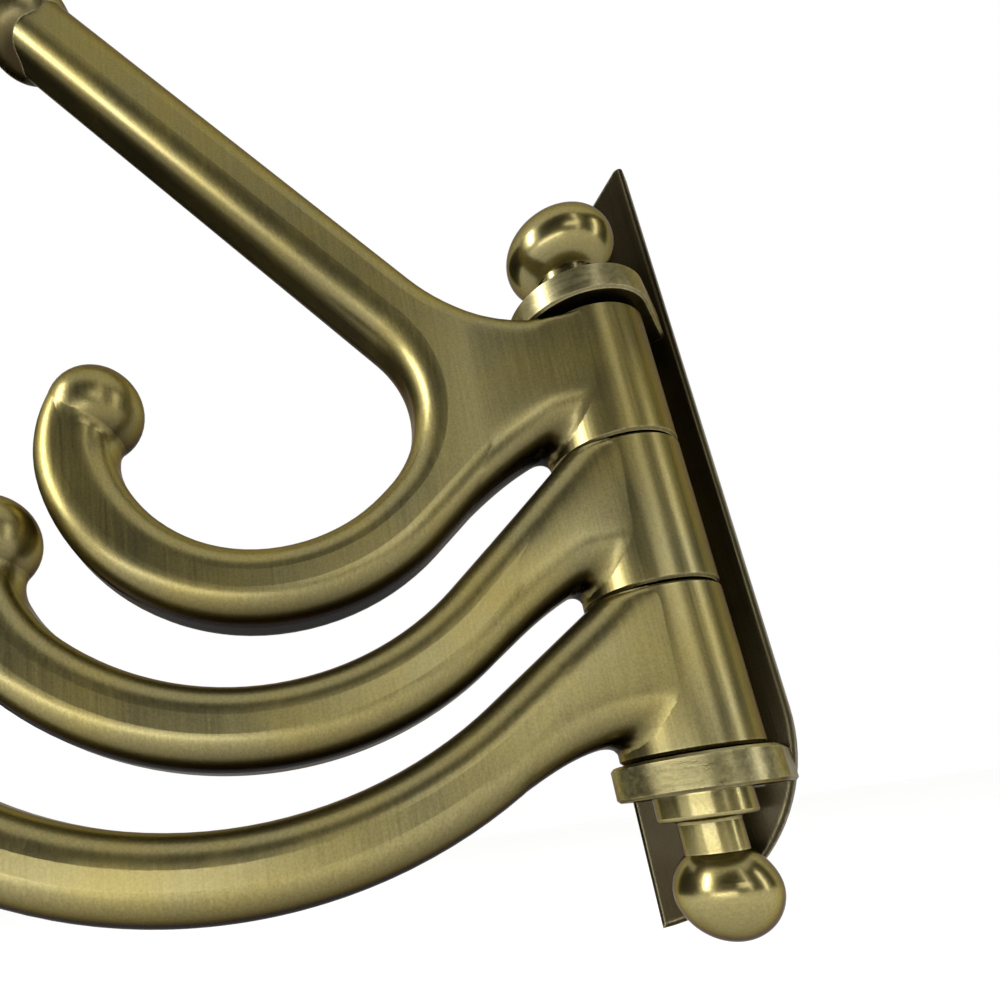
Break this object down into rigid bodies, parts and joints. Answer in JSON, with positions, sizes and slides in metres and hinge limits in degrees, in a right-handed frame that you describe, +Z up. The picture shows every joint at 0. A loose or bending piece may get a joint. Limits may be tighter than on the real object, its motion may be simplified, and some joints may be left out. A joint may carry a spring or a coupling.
{
  "type": "swivel wall hook",
  "caption": "Wall hook with nested curved arms that swing on an upright pin between lugs of a slim wall plate, finished by a ball and a drop finial.",
  "frame": {"origin": "on the wall side of the plate, midway between the screw holes", "axes": "+Z up along the pin, the wall is the plane Y=0 and the arms reach towards -Y, +X is to the right of somebody facing the wall"},
  "size_m": [0.093, 0.0783, 0.1553],
  "materials": {
    "plate_brass": "dark satin",
    "lug_brass": "brushed along the rim",
    "pin_brass": "turned",
    "finial_brass": "polished",
    "arm_brass": "satin"
  },
  "bodies": {
    "bracket": {"wall_plate": "plate_brass", "upper_lug": "lug_brass", "lower_lug": "lug_brass", "pivot_pin": "pin_brass", "ball_finial": "finial_brass", "drop_finial": "finial_brass"},
    "lower_arm": {"lower_arm": "arm_brass"},
    "middle_arm": {"middle_arm": "arm_brass"},
    "upper_arm": {"upper_arm": "arm_brass"}
  },
  "joints": [
    {"name": "lower_arm_swivel", "type": "hinge", "parent": "bracket", "child": "lower_arm", "pos_m": [0, -0.0126, 0], "axis": [0, 0, 1], "range_deg": [-38, 142]},
    {"name": "middle_arm_swivel", "type": "hinge", "parent": "bracket", "child": "middle_arm", "pos_m": [0, -0.0126, 0], "axis": [0, 0, 1], "range_deg": [-38, 142]},
    {"name": "upper_arm_swivel", "type": "hinge", "parent": "bracket", "child": "upper_arm", "pos_m": [0, -0.0126, 0], "axis": [0, 0, 1], "range_deg": [-38, 142]}
  ]
}
